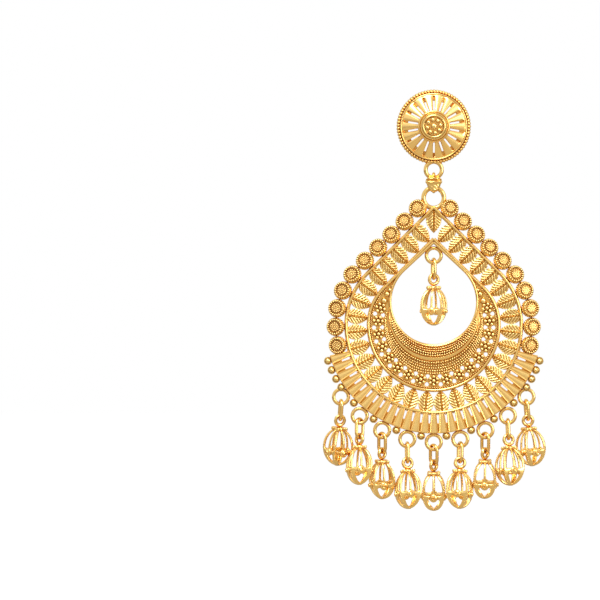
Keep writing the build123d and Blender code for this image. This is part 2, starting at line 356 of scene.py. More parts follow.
def plate(name, outlines, back, front, bevel, finish):
    # a flat sheet with every inner outline cut through
    curve = bpy.data.curves.new(name, "CURVE")
    curve.dimensions = "2D"
    curve.fill_mode = "BOTH"
    curve.extrude = (front - back) / 2 - bevel
    curve.bevel_depth = bevel
    curve.bevel_resolution = 1
    curve.offset = -bevel
    for outline in outlines:
        spline = curve.splines.new("POLY")
        spline.points.add(len(outline) - 1)
        for point, place in zip(spline.points, outline):
            point.co = (place[0], place[1], 0, 1)
        spline.use_cyclic_u = True
    mesh = plainMesh(inScene(name, curve))
    mesh.transform(moved(0, 0, (front + back) / 2))
    mend(mesh, 0.0005)
    return coat(mesh, finish)


def finishPiece(name, meshes, place, body, nodes):
    # one object from several meshes, at the origin with its place in its mesh
    work = bmesh.new()
    materials = []
    for mesh in meshes:
        before = len(work.faces)
        work.from_mesh(mesh)
        work.faces.ensure_lookup_table()
        if mesh.materials[0] not in materials:
            materials.append(mesh.materials[0])
        for face in work.faces[before:]:
            face.material_index = materials.index(mesh.materials[0])
    whole = bpy.data.meshes.new(name)
    work.to_mesh(whole)
    work.free()
    for material in materials:
        whole.materials.append(material)
    for label in guideLabels:
        if label in whole.attributes:
            whole.attributes.remove(whole.attributes[label])
    whole.transform(place)
    piece = inScene(name, whole)
    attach(piece, body)
    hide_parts(*nodes)
    return piece


def finishOnDrop(name, *meshes):
    return finishPiece(name, meshes, onDrop, "drop", ["drop_frame"])


# ---- finishes, with painted shade in their creases

# face is each finish's lit colour and deep is painted shade, which ambient occlusion mixes into creases,
# gaps and between parts; the last two numbers set how far and how strongly the painted shade reaches
finishes = {
    "goldWire": dict(
        face=(0.91, 0.765, 0.47), deep=(0.82, 0.53, 0.06), shine=0.17, spread=0.12,
        grain=1500, bump=0.03, cloud=260, shadeDistance=0.7, shadeGrip=1.6,
    ),
    "goldLeaf": dict(
        face=(0.93, 0.82, 0.55), deep=(0.74, 0.49, 0.10), shine=0.27, spread=0.2,
        grain=5200, bump=0.2, cloud=330, shadeDistance=0.32, shadeGrip=1.5,
    ),
    "goldGranule": dict(
        face=(0.94, 0.81, 0.52), deep=(0.68, 0.41, 0.04), shine=0.19, spread=0.1,
        grain=2500, bump=0.04, cloud=300, shadeDistance=0.38, shadeGrip=2.0,
    ),
    "goldSatin": dict(
        face=(0.98, 0.825, 0.515), deep=(0.83, 0.54, 0.08), shine=0.24, spread=0.14,
        grain=1300, bump=0.10, cloud=420, shadeDistance=0.7, shadeGrip=1.3,
    ),
    "goldCage": dict(
        face=(0.96, 0.815, 0.51), deep=(0.84, 0.52, 0.06), shine=0.19, spread=0.14,
        grain=1800, bump=0.08, cloud=420, shadeDistance=0.9, shadeGrip=1.4,
    ),
    # a copy of the gold, a little darker and rougher, for the recessed bands, plate, web, rope, flange and
    # boss: painted shade, with its deep colour darker and more orange than on the wire
    "goldShaded": dict(
        face=(0.91, 0.76, 0.45), deep=(0.78, 0.47, 0.05), shine=0.26, spread=0.16,
        grain=3000, bump=0.15, cloud=300, shadeDistance=0.5, shadeGrip=1.3,
    ),
    "postBrass": dict(
        face=(0.90, 0.78, 0.56), deep=(0.78, 0.58, 0.30), shine=0.22, spread=0.1,
        grain=1600, bump=0.05, cloud=300, shadeDistance=0.8, shadeGrip=1.2,
    ),
}


def goldFinish(name):
    look = finishes[name]
    material = bpy.data.materials.new(name)
    material.use_nodes = True
    net = Net(material.node_tree)
    place = net.add("ShaderNodeTexCoord", out="Object")
    cloud = net.add("ShaderNodeTexNoise", {"Vector": place, "Scale": look["cloud"], "Detail": 4.0})
    grain = net.add("ShaderNodeTexNoise", {"Vector": place, "Scale": look["grain"], "Detail": 3.0})
    # painted shade: ambient occlusion mixes the deep colour into creases, gaps and between parts, and a
    # random cloud of tone varies the mix
    nearby = {"Distance": look["shadeDistance"] * mm}
    light = net.add("ShaderNodeAmbientOcclusion", nearby, out="AO", samples=6)
    reach = light ** look["shadeGrip"]
    shadeAndTone = reach * (0.86 + cloud * 0.28)
    colour = net.mixColour(shadeAndTone, linear(look["deep"]), linear(look["face"]))
    roughness = look["shine"] + (cloud - 0.5) * look["spread"] + (1 - reach) * 0.12
    relief = {"Strength": look["bump"], "Distance": 0.05 * mm, "Height": grain + cloud * 0.6}
    bump = net.add("ShaderNodeBump", relief)
    surface = {"Base Color": colour, "Metallic": 1.0, "Roughness": roughness, "Normal": bump}
    shader = net.add("ShaderNodeBsdfPrincipled", surface)
    net.add("ShaderNodeOutputMaterial", {"Surface": shader})
    return material


gold = {name: goldFinish(name) for name in finishes}
print("finishes made")

# ---- where things are, from the frame

loopRing = {
    "radius": 1.57, "wire": 0.38, "circle": 24.9, "step": 13.06, "count": 9,
    "innerHeight": 14.75,
}
topRing = {"radius": 2.17, "wire": 0.5}
hangDepth = -(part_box("link_centre")[0].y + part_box("link_centre")[1].y) / 2 / mm
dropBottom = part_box("drop_frame")[0].z / mm
centreHeight = dropBottom + loopRing["circle"] + loopRing["radius"] + loopRing["wire"]
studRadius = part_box("ear_stud")[1].x / mm
arcStep = 0.35
inMm = Matrix.Scale(mm, 4)
onStud = inMm @ spun(90, "X")
onDrop = inMm @ moved(0, -hangDepth, centreHeight) @ spun(90, "X")

# ---- guides on the main drop: x right, y up, z to the front


def onCircle(radius, turn, z=0.0, middle=0.0):
    # turn is in degrees from straight down
    return (radius * sin(radians(turn)), middle - radius * cos(radians(turn)), z)


def evenTurns(count, step):
    return [step * (k - (count - 1) / 2) for k in range(count)]


def arc(radius, middle, start, end, z):
    count = max(3, ceil(radians(abs(end - start)) * radius / arcStep))
    return [onCircle(radius, start + (end - start) * k / count, z, middle) for k in range(count + 1)]


def grown(line, by):
    return (line[0] + by, *line[1:])


def teardrop(line, z=0.0, lift=0.0):
    # from the point down the left side, round the bottom and back up
    radius, slope, shoulder = line
    side = radius - shoulder
    apex = lift + (side + shoulder * cos(radians(slope))) / sin(radians(slope))
    left = [(x - shoulder, y, z) for x, y, _ in arc(side, lift, -90 - slope, -90, z)]
    right = [(x + shoulder, y, z) for x, y, _ in arc(side, lift, 90, 90 + slope, z)]
    return [(0, apex, z)] + left + arc(radius, lift, -90, 90, z)[1:] + right[1:] + [(0, apex, z)]


def alongLine(line, run):
    # place and outward angle in degrees at a run up the right side from the lowest point
    radius, slope, shoulder = line
    side = radius - shoulder
    low = radius * pi / 2
    high = low + side * radians(slope)
    if run <= low:
        outward = run / radius - pi / 2
        return radius * cos(outward), radius * sin(outward), outward * 180 / pi
    outward = min(radians(slope), (run - low) / side)
    over = max(0.0, run - high)
    x = shoulder + side * cos(outward) - over * sin(outward)
    return x, side * sin(outward) + over * cos(outward), outward * 180 / pi


def lineLength(line):
    radius, slope, shoulder = line[0], radians(line[1]), line[2]
    side = radius - shoulder
    return radius * pi / 2 + side * slope + (shoulder + side * cos(slope)) / sin(slope)


def bothSides(places, lean=0.0):
    # spots on the right and their mirror images, local X pointing outward
    spots = []
    for x, y, outward in places:
        for side, turn in ((1, outward), (-1, 180 - outward)):
            spin = (spun(turn) @ spun(lean, "Y")).to_euler()
            spots.append(((side * x, y, 0.0), tuple(spin), (1, 1, 1)))
    return spots


inFront = (0.0, 0.0, 1.0)

# ---- main drop: wires

# each line is its radius, its slope and how far its shoulders stand out from the middle
frameWires = {
    "outer": (18.6, 45.3, 3.0), "inner": (13.85, 45.5, 2.8), "opening": (9.0, 47.0, 0.0),
    "openingLift": 4.9, "band": 0.8, "bandDepth": 1.1, "round": 0.56, "top": 0.72,
    # the bead rows beside the wires: how far they are from the wire, their height and their pitch
    "beads": (0.42, -0.5), "beadHeight": 0.62, "beadPitch": 0.42, "beadReach": 76,
    "beadsBelow": 8.0, "hem": (0.25, 0.55, 1.5, 0.24),
}


def makeFrameWires():
    look = frameWires
    outer, inner, opening = look["outer"], look["inner"], look["opening"]
    bands = [(teardrop(line), False, inFront) for line in (outer, inner)]
    tops = [(teardrop(line, look["top"]), False, inFront) for line in (outer, inner)]
    hemOut, hemWidth, hemDepth, hemEdge = look["hem"]
    hem = [(teardrop(grown(opening, hemOut), hemOut, look["openingLift"]), False, inFront)]
    (outside, inside), height, reach = look["beads"], look["beadHeight"], look["beadReach"]
    lowerBeads = [(arc(outer[0] + outside, 0, -reach, reach, height), False, inFront)]
    innerLine = teardrop(grown(inner, inside), height)
    innerBeads = [([point for point in innerLine if point[1] < look["beadsBelow"]], False, inFront)]
    return finishOnDrop(
        "frameWires",
        wires("wireBands", bands, look["band"], look["bandDepth"], 0.15, "goldShaded"),
        wires("wireTops", tops, look["round"], look["round"], look["round"] / 2 - 0.01, "goldWire"),
        wires("openingHem", hem, hemWidth, hemDepth, hemEdge, "goldWire"),
        beads("lowerBeads", lowerBeads, look["beadPitch"], 0.21, "goldGranule"),
        beads("innerBeads", innerBeads, look["beadPitch"], 0.2, "goldGranule"),
    )


# ---- main drop: leaves with a midrib and slanting veins

leaf = {
    "line": (16.3, 44.5, 3.4), "count": 16, "pitch": 3.22, "topHeight": 21.95, "reach": 2.42,
    "half": 1.64, "blunt": 0.88, "base": 0.86, "edge": 0.42, "crown": 0.3, "veinPitch": 0.68,
    "veinDepth": 0.27, "veinLean": 0.85, "veinsFrom": (0.2, 0.15), "ribReach": 0.3,
    "ribGroove": (0.15, 0.24, 0.07), "rib": (0.05, 0.1), "grid": (64, 8), "back": -0.5,
}


def leafHalf(share):
    # half the width from the pointed inner tip, 0, to the rounded outer base, 1
    return leaf["half"] * max(0.03, sin(pi * share * leaf["base"])) ** leaf["blunt"]


def leafHeight(x, y, across):
    crown = leaf["crown"] * max(0.0, 1 - across**2) ** 0.6 * min(1, (x + leaf["reach"] + 0.4) / 1.4)
    fade = min(1.0, (1 - abs(across)) * 5)
    groove = (0.5 + 0.5 * cos(2 * pi * (x + leaf["veinLean"] * abs(y)) / leaf["veinPitch"])) ** 1.4
    veinsFrom, veinsRise = leaf["veinsFrom"]
    groove *= min(1.0, max(0.0, (abs(y) - veinsFrom) / veinsRise))
    (beside, depth, soft), (rise, wide) = leaf["ribGroove"], leaf["rib"]
    rib = rise * exp(-((y / wide) ** 2)) - depth * exp(-(((abs(y) - beside) / soft) ** 2))
    return leaf["edge"] + crown - fade * (leaf["veinDepth"] * groove - rib)


def makeLeaf():
    rows = []
    along, across = leaf["grid"]
    for i in range(along + 1):
        x = leaf["reach"] * (2 * i / along - 1)
        half = leafHalf(i / along)
        near = min(leaf["ribReach"], half / 2)
        ys = [near * k / 4 for k in range(4)]
        ys += [near + (half - near) * k / across for k in range(across + 1)]
        ys = [-y for y in reversed(ys[1:])] + ys
        rows.append([(x, y, leafHeight(x, y, y / half)) for y in ys])
    return cast("leaf", [(casting(rows, leaf["back"]), Matrix())], "goldLeaf", 60)


def makeLeafBand():
    places = [alongLine(leaf["line"], (k + 0.5) * leaf["pitch"]) for k in range(leaf["count"])]
    spots = bothSides(places)
    spots.append(((0, leaf["topHeight"], 0), (0, 0, pi / 2), (1, 1, 1)))
    return finishOnDrop("leafBand", ornaments("leaves", makeLeaf(), spots))


# ---- main drop: cups along the outer edge

cup = {
    "line": (20.8, 45.3, 3.0), "count": 10, "pitch": 3.95, "start": 4.7, "radius": 1.98, "lean": 17,
    "head": 1.56, "rim": 1.0, "floor": 0.76, "disc": 0.98, "discTop": 1.02, "beadRing": 1.5,
}


def ringOfBeads(radius, height, size, count):
    profile = [(0, -size), (0.8 * size, -0.6 * size), (size, 0), (0.75 * size, 0.66 * size), (0, size)]
    places = [onCircle(radius, 360 * k / count, height) for k in range(count)]
    return [(lathe(profile, 8), moved(*place)) for place in places]


def makeCup():
    head, rim, floor, disc, top = (cup[key] for key in ("head", "rim", "floor", "disc", "discTop"))
    wide = cup["radius"]
    profile = [(0, -0.55), (1.5, -0.55), (wide - 0.1, -0.3), (wide, 0.1), (head + 0.2, 0.6)]
    profile += [(head + 0.12, rim - 0.12), (head - 0.05, rim), (head - 0.2, rim - 0.02)]
    profile += [(head - 0.3, floor), (disc + 0.05, floor), (disc, top - 0.1), (disc - 0.1, top)]
    profile += [(disc / 2, top + 0.02), (0, top + 0.02)]
    shell = cast("cupShell", [(lathe(profile, 32), Matrix())], "goldLeaf", 35)
    # each ring's radius, height, bead and count
    rings = ((cup["beadRing"], rim, 0.26, 20), (disc + 0.2, floor + 0.1, 0.13, 20))
    rings += ((disc - 0.15, top - 0.02, 0.21, 13), (0.44, top - 0.02, 0.2, 7))
    rings += ((0.0, top - 0.04, 0.2, 1), (wide - 0.16, 0.3, 0.19, 26))
    trim = [bead for ring in rings for bead in ringOfBeads(*ring)]
    return [shell, cast("cupTrim", trim, "goldGranule", 180)]


def makeRimCups():
    first = lineLength(cup["line"]) - cup["start"]
    places = [alongLine(cup["line"], first - k * cup["pitch"]) for k in range(cup["count"])]
    spots = bothSides(places, lean=cup["lean"])
    shell, trim = makeCup()
    return finishOnDrop(
        "rimCups",
        ornaments("cupShells", shell, spots),
        ornaments("cupBeads", trim, spots),
    )


# ---- main drop: pierced band of granule flowers, with beads that thin out up the horns

flower = {
    "circle": 11.85, "step": 13.45, "count": 17, "petalCircle": 0.86, "height": 0.62,
    "granule": (0.43,) * 3, "heart": (0.4644,) * 3, "heartRise": 0.08, "hornHeight": 0.5,
    "gaps": (11.0, 12.68), "gapRadius": 0.45, "plateFront": 0.42, "plateBack": -0.5,
}
# each horn bead's elevation in degrees, circle and size
hornBeads = ((26.0, 11.7, 0.72), (33.5, 11.85, 0.6), (38.5, 11.93, 0.45), (43.0, 12.08, 0.34))


def makeFlowerBand():
    outlines = [
        teardrop(grown(frameWires["inner"], 0.1))[:-1],
        teardrop(grown(frameWires["opening"], 0.1), 0, frameWires["openingLift"])[:-1],
    ]
    for turn in evenTurns(flower["count"] - 1, flower["step"]):
        for radius in flower["gaps"]:
            centre = Vector(onCircle(radius, turn))
            gap = [Vector(onCircle(flower["gapRadius"], 30 * k)) for k in range(12)]
            outlines.append([tuple(centre + offset) for offset in gap])
    granules = []
    for turn in evenTurns(flower["count"], flower["step"]):
        centre = Vector(onCircle(flower["circle"], turn, flower["height"]))
        ring = [Vector(onCircle(flower["petalCircle"], turn + 60 * k)) for k in range(6)]
        granules += [(tuple(centre + offset), (0, 0, 0), flower["granule"]) for offset in ring]
        heart = centre + Vector((0, 0, flower["heartRise"]))
        granules.append((tuple(heart), (0, 0, 0), flower["heart"]))
    for elevation, radius, size in hornBeads:
        for turn in (90 + elevation, -90 - elevation):
            granules.append((onCircle(radius, turn, flower["hornHeight"]), (0, 0, 0), (size,) * 3))
    return finishOnDrop(
        "flowerBand",
        plate("bandPlate", outlines, flower["plateBack"], flower["plateFront"], 0.06, "goldShaded"),
        ornaments("flowerGranules", granule(12), granules),
    )


# ---- main drop: puffed crescent with beaded rows

moon = {
    "inner": 9.1, "outer": (9.8, 1.5), "centre": 3.2, "reach": 98, "height": 1.3,
    "bead": 0.27, "pitch": 0.5, "grid": (160, 44), "fullWidth": 3.4, "edge": 0.42, "back": -0.45,
    "rowShare": (0.44, 0.56, 0.93), "fineShare": (0.08, 0.2, 0.32), "fineBead": 0.23,
    "grooves": (0.14, 0.26, 0.38, 0.5, 0.62, 0.87), "grooveDepth": 0.26, "grooveHalf": 0.11,
    # the bead rows outside it: each one's share of the way to the far circle, and its reach in degrees
    "outsideEdge": (10.35, 0.0), "outsideHeight": 0.52, "outsideBead": 0.28,
    "outsideRows": ((0.17, 68), (0.44, 80), (0.71, 92), (0.98, 104)),
}


def reachToCircle(turn, radius, middle):
    # distance from the crescent's own centre to a circle whose middle is on the axis
    offset = middle - moon["centre"]
    along = -offset * cos(radians(turn))
    return along + sqrt(along**2 - offset**2 + radius**2)


def crescentEdges(turn):
    inner = reachToCircle(turn, moon["inner"], frameWires["openingLift"])
    return inner, reachToCircle(turn, *moon["outer"])


def crescentPoint(turn, share):
    inner, outer = crescentEdges(turn)
    width = outer - inner
    full = min(1.0, width / moon["fullWidth"])
    puff = sin(pi * min(1.0, 0.14 + 0.86 * share)) ** 0.75
    x, y, _ = onCircle(inner + width * share, turn, 0, moon["centre"])
    height = moon["edge"] + moon["height"] * full * puff * (0.75 + 0.25 * share)
    half = moon["grooveHalf"]
    grooves = sum(exp(-(((share - place) * width / half) ** 2)) for place in moon["grooves"])
    return (x, y, height - moon["grooveDepth"] * full * grooves)


def makeCrescent():
    along, across = moon["grid"]
    turns = [-moon["reach"] + 2 * moon["reach"] * k / along for k in range(along + 1)]
    rows = [[crescentPoint(turn, k / across) for k in range(across + 1)] for turn in turns]
    body = cast("moon", [(casting(rows, moon["back"]), Matrix())], "goldSatin", 60)

    def row(share, least, rise):
        # a row of beads where the crescent is wider than the least width
        inside = [t for t in turns if crescentEdges(t)[1] - crescentEdges(t)[0] > least]
        points = [Vector(crescentPoint(turn, share)) + Vector((0, 0, rise)) for turn in inside]
        return [tuple(point) for point in points], False, inFront

    paths = [row(share, 1.4 + 0.4 * n, 0.07) for n, share in enumerate(moon["rowShare"])]
    fine = [row(share, 1.6, 0.06) for share in moon["fineShare"]]
    (nearRadius, nearMiddle), (farRadius, farMiddle) = moon["outer"], moon["outsideEdge"]
    outside = []
    for share, reach in moon["outsideRows"]:
        radius = nearRadius + (farRadius - nearRadius) * share
        middle = nearMiddle + (farMiddle - nearMiddle) * share
        outside.append((arc(radius, middle, -reach, reach, moon["outsideHeight"]), False, inFront))
    return finishOnDrop(
        "crescent",
        body,
        beads("moonBeads", paths, moon["pitch"], moon["bead"], "goldGranule"),
        beads("moonGrains", fine, 0.5, moon["fineBead"], "goldGranule", sides=6, seed=9),
        beads("outsideBeads", outside, moon["pitch"], moon["outsideBead"], "goldGranule", seed=5),
    )


# ---- main drop: fringe of tapered rays, with small cups and loops on its edge

ray = {
    "count": 29, "step": 5.09, "from": 18.6, "to": 23.0, "inner": 0.53, "outer": 0.96,
    "front": 0.95, "back": -0.55, "bevel": 0.12, "line": 0.14, "sunk": 0.12, "web": (20.9, 22.8),
}
edgeBead = {"circle": 23.7, "radius": 0.87, "granule": 0.62, "upperRays": (11, 12, 13, 14)}


def makeRay():
    length = ray["to"] - ray["from"]
    rows = []
    for share in (0.0, 0.05, 0.3, 0.6, 0.9, 0.96, 1.0):
        half = ray["inner"] + (ray["outer"] - ray["inner"]) * share
        drop = ray["bevel"] if share in (0.0, 1.0) else 0.0
        inset = half - ray["bevel"]
        panel = inset - ray["line"]
        side, low = ray["bevel"] + drop, ray["sunk"] + drop
        # a sunk panel between two raised lines
        steps = [(0, low - 0.06), (panel - 0.08, low), (panel, 0.04 + drop)]
        steps += [(inset, drop), (half, side)]
        steps = [(-y, fall) for y, fall in reversed(steps[1:])] + steps
        rows.append([(length * share, y, ray["front"] - fall) for y, fall in steps])
    return cast("ray", [(casting(rows, ray["back"]), Matrix())], "goldSatin", 25)


def makeRayFringe():
    turns = evenTurns(ray["count"], ray["step"])
    spots = [(onCircle(ray["from"], turn), (0, 0, radians(turn - 90)), (1, 1, 1)) for turn in turns]
    web = [(arc(sum(ray["web"]) / 2, 0, turns[0], turns[-1], 0.15), False, inFront)]
    edge = [(arc(ray["to"] - 0.12, 0, turns[0] - 2, turns[-1] + 2, 0.5), False, inFront)]
    return finishOnDrop(
        "rayFringe",
        ornaments("rays", makeRay(), spots),
        wires("rayWeb", web, ray["web"][1] - ray["web"][0], 0.6, 0.1, "goldShaded"),
        wires("rayEdge", edge, 0.36, 0.6, 0.1, "goldWire"),
    )


def makeEdgeBeads():
    beadTurns = evenTurns(loopRing["count"] - 1, loopRing["step"])
    beadTurns += [side * ray["step"] * k for side in (-1, 1) for k in edgeBead["upperRays"]]
    size = edgeBead["radius"]
    profile = [(0, -0.55), (0.7 * size, -0.55), (size, -0.3), (size, 0.45), (size - 0.1, 0.6)]
    profile += [(size - 0.2, 0.6), (size - 0.26, 0.46), (0, 0.42)]
    seat = moved(0, 0, 0.5) @ Matrix.Scale(edgeBead["granule"], 4)
    small = cast("smallCup", [(lathe(profile, 24), Matrix()), (unitBall(14), seat)], "goldGranule", 50)
    spots = [(onCircle(edgeBead["circle"], turn), (0, 0, 0), (1, 1, 1)) for turn in beadTurns]
    return finishOnDrop("edgeBeads", ornaments("smallCups", small, spots))


def ringPath(centre, radius, count=40, toX=(1, 0, 0), toY=(0, 1, 0)):
    # a closed circle with its own outward direction
    middle, toX, toY = Vector(centre), Vector(toX), Vector(toY)
    angles = [2 * pi * k / count for k in range(count)]
    points = [tuple(middle + radius * (cos(a) * toX + sin(a) * toY)) for a in angles]
    return (points, True, lambda place: (Vector(place) - middle).normalized())


loopTurns = evenTurns(loopRing["count"], loopRing["step"])
loopCentres = [onCircle(loopRing["circle"], turn) for turn in loopTurns] + [(0, loopRing["innerHeight"], 0)]


def makeHangingLoops():
    paths = [ringPath(centre, loopRing["radius"]) for centre in loopCentres]
    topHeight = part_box("drop_frame")[1].z / mm - topRing["radius"] - topRing["wire"] - centreHeight
    top = [ringPath((0, topHeight, 0), topRing["radius"], 48)]
    return finishOnDrop(
        "hangingLoops",
        roundWires("loopWires", paths, loopRing["wire"], "goldWire"),
        roundWires("topRing", top, topRing["wire"], "goldWire", blunt=0.04),
    )


makers = (
    makeFrameWires, makeLeafBand, makeRimCups, makeFlowerBand, makeCrescent,
    makeRayFringe, makeEdgeBeads, makeHangingLoops,
)
for make in makers:
    piece = make()
    print(piece.name, len(piece.data.polygons), "faces")

# ---- links and openwork drops

link = {"bend": 1.16, "height": 4.1, "wire": 0.36}
cage = {
    "half": 2.42, "height": 8.2, "ring": (1.0, 0.36), "collarDrop": 1.25, "collarThickness": 0.6,
    "collarRise": 0.25, "wall": 0.4, "cornerRib": 0.54, "midRib": 0.25, "window": (-0.45, 3.77),
    "hole": (-1.45, -3.8, 1.45), "boss": 0.86, "bossDrop": 1.05, "seam": (0.34, 0.13),
    "seamTurns": (66, -80, 40), "seamInset": 0.12,
    # the latitudes of the shell's points, closer together round the small hole
    "levels": (
        -88, -80, -70, -60, -51, -45, -39, -33, -27, -21, -14, -8, -2, 6, 16, 26, 36, 46, 56, 64, 70, 76,
    ),
}
hangGap = 0.05
turnedGap = 0.45
# name, then in degrees: the link's turn from edge-on, the turn of the cage's ring from face-on, the cage's
# own turn, and its lean forward and to the right
dropRows = (
    ("1", 10, 22, 31, -9.4, -3.6),
    ("2", -36, -50, 10.6, 8.6, -0.6),
    ("3", 36, 50, 10.6, -6.3, 0),
    ("4", 8, 20, 12.8, 8.4, 1.0),
    ("5", 36, 50, -2.8, -8.3, 0.2),
    ("6", 18, 0, -16, 8.0, -1.1),
    ("7", 36, 50, -1.9, -8.8, -0.5),
    ("8", 6, 16, 22.1, 7.8, 2.3),
    ("9", 12, 2, 25.7, -5.2, 5.7),
    ("centre", 12, 24, -14, 0, 0),
)


def linkPath(bend, height):
    # an upright oval in the YZ plane
    half = height / 2 - bend
    upper = [(0, bend * cos(pi * k / 14), half + bend * sin(pi * k / 14)) for k in range(15)]
    lower = [(0, -bend * cos(pi * k / 14), -half - bend * sin(pi * k / 14)) for k in range(15)]
    return (upper + lower, True, lambda place: Vector((0, place[1], place[2] * 0.6)).normalized())


def cageSeam(turn):
    # a line down one corner of the cage, a little inside it
    (start, end, count), inset = cage["seamTurns"], cage["seamInset"]
    reach, high = cage["half"] * sqrt(2) - inset, cage["height"] / 2 - inset
    points = []
    for k in range(count + 1):
        t = radians(start + (end - start) * k / count)
        across = reach * cos(t)
        points.append((across * cos(radians(turn)), across * sin(radians(turn)), high * sin(t)))
    return points, False, inFront


def cageRow(turn):
    # a level of one side's half: its height, its half-width and the columns from its middle to the corner
    wide = cage["half"] * cos(radians(turn))
    z = cage["height"] / 2 * sin(radians(turn))
    holeTop, holeTip, holeHalf = cage["hole"]
    if z > holeTop:
        blend = min(1.0, max(0.0, (cage["window"][0] - z) / (cage["window"][0] - holeTop)))
        near = cage["midRib"] + (holeHalf - cage["midRib"]) * blend
    else:
        near = holeHalf * max(0.002, (z - holeTip) / (holeTop - holeTip)) ** 0.55
    far = max(wide - cage["cornerRib"], 0.6 * wide)
    near = min(near, 0.85 * far)
    return z, wide, (0, near, (near + far) / 2, far, (far + wide) / 2, wide)


def cageShell():
    # four sides with two tall windows and a small hole each, made thick and rounded
    levels = [cageRow(turn) for turn in cage["levels"]]
    holeTop, holeTip, _ = cage["hole"]
    points, faces = [], []
    for quarter in range(4):
        for side in (-1, 1):
            for n, (z, wide, ys) in enumerate(levels):
                start = len(points)
                points += [spun(90 * quarter) @ Vector((wide, side * y, z)) for y in ys]
                middle = (z + levels[max(0, n - 1)][0]) / 2
                for k in range(len(ys) - 1):
                    inWindow = k in (1, 2) and cage["window"][0] < middle < cage["window"][1]
                    inHole = k == 0 and holeTip < middle < holeTop
                    if n and not (inWindow or inHole):
                        lower = start - len(ys) + k
                        faces.append([lower, lower + 1, start + k + 1, start + k])
    mesh = bpy.data.meshes.new("cageShell")
    mesh.from_pydata(points, [], faces)
    mend(mesh, 0.001)
    holder = inScene("cageShell", mesh)
    thick = holder.modifiers.new("thick", "SOLIDIFY")
    thick.thickness = cage["wall"]
    thick.offset = -1
    rounded = holder.modifiers.new("rounded", "SUBSURF")
    rounded.levels = 1
    rounded.render_levels = 1
    shell = plainMesh(holder)
    shell.shade_smooth()
    return coat(shell, "goldCage")


def makeCageMeshes():
    seams = [cageSeam(45 + 90 * quarter) for quarter in range(4)]
    boss = cage["boss"]
    bossForm = [(0, -0.3), (boss * 0.8, -0.3), (boss, -0.1), (boss, 0.14), (boss - 0.12, 0.26)]
    bossForm += [(0.5, 0.34), (0.44, 0.36), (0.42, 0.62), (0.32, 0.72), (0.22, 0.7), (0.18, 0.5), (0, 0.46)]
    collarTop = cage["height"] / 2 + cage["collarRise"]
    collar = lathe([(0, -0.9), (0.85, -0.9), (1.1, -0.5), (1.05, -0.2), (0.8, 0), (0, 0.02)], 20)
    foot = lathe([(0, -0.3), (0.45, -0.28), (0.75, -0.05), (0.6, 0.25), (0, 0.3)], 16)
    forms = [(collar, moved(0, 0, collarTop)), (foot, moved(0, 0, 0.3 - cage["height"] / 2))]
    nub = lathe([(0, -0.42), (0.32, -0.3), (0.42, 0), (0.32, 0.3), (0, 0.42)], 10)
    wide = cage["half"] * sqrt(1 - (cage["bossDrop"] / (cage["height"] / 2)) ** 2)
    onSide = moved(wide - 0.06, 0, -cage["bossDrop"]) @ turnedTo((1, 0, 0))
    for quarter in range(4):
        forms.append((lathe(bossForm, 22), spun(90 * quarter) @ onSide))
        around = spun(90 * quarter + 45)
        forms.append((nub, around @ moved(1.42, 0, collarTop - 0.4)))
        forms.append((nub, around @ moved(1.0, 0, collarTop - 0.42) @ Matrix.Scale(1.1, 4)))
    return [
        cageShell(),
        beads("cageSeams", seams, *cage["seam"], "goldCage", spread=0.05, sides=6),
        cast("cageCasting", forms, "goldCage", 45),
    ]


def hangMatrix(loopPlace, turn, lean, sway):
    # turns about the piece's own vertical, then leans about the loop's lowest wire
    lift = moved(*loopPlace) @ moved(0, 0, -loopRing["radius"])
    tilt = spun(-sway, "Y") @ spun(-lean, "X")
    return inMm @ lift @ tilt @ moved(0, 0, loopRing["radius"]) @ spun(turn)


cageMeshes = makeCageMeshes()
linkPaths = [linkPath(link["bend"], link["height"])]
linkMesh = roundWires("linkWire", linkPaths, link["wire"], "goldWire")
cageMiddle = cage["collarRise"] - cage["collarDrop"] - cage["collarThickness"] - cage["height"] / 2
for (x, y, _), (name, linkTurn, ringTurn, cageTurn, lean, sway) in zip(loopCentres, dropRows):
    loopPlace = (x, -hangDepth, centreHeight + y)
    slack = hangGap + turnedGap * sin(radians(linkTurn)) ** 2
    linkTop = -loopRing["radius"] + loopRing["wire"] + link["wire"] + slack
    ringTop = linkTop - link["height"] + link["wire"] + cage["ring"][1] + hangGap
    ringMiddle = ringTop - cage["ring"][0]
    linkPlace = hangMatrix(loopPlace, linkTurn, lean, sway) @ moved(0, 0, linkTop - link["height"] / 2)
    finishPiece("ovalLink_" + name, [linkMesh], linkPlace, "drop", ["link_" + name])
    turn = radians(ringTurn - cageTurn)
    ring = ringPath((0, 0, -cageMiddle), cage["ring"][0], 28, (cos(turn), sin(turn), 0), (0, 0, 1))
    ringMesh = roundWires("cageRing", [ring], cage["ring"][1], "goldWire", corner=3)
    cagePlace = hangMatrix(loopPlace, cageTurn, lean, sway) @ moved(0, 0, ringMiddle + cageMiddle)
    finishPiece("openworkDrop_" + name, cageMeshes + [ringMesh], cagePlace, "drop", ["cage_" + name])
print("links and openwork drops made")

# ---- ear stud

stud = {
    "petals": 18, "firstSlot": 10, "slot": (3.4, 6.5, 0.2), "inner": 2.9, "outer": 7.0, "wall": 0.65,
    "crown": 0.09, "twist": (0.11, 2.3), "bevel": 0.17, "grid": (28, 8),
    # the cone's front: height and radius at the boss, then at the rim
    "cone": ((3.5, 2.75), (1.25, 7.25)),
    "boss": 2.95, "bossFront": 4.0, "rim": studRadius - 0.55,
}
rope = {"beads": 72, "height": 0.8, "bead": 0.53, "trim": 0.03}
slotBlock = {"circle": 6.08, "length": 0.9, "width": 0.46, "sunk": 0.3, "ridge": 0.18, "deep": 1.1}
hanger = {"radius": 1.72, "wire": 0.45}
# the granules on the boss: the ring's circle, count and first turn, their sizes and how far they stand out
bossGranules = {
    "circle": 1.42, "count": 8, "first": 10, "ring": (0.46, 0.46, 0.42),
    "heart": (0.66, 0.66, 0.42), "rise": 0.2,
}
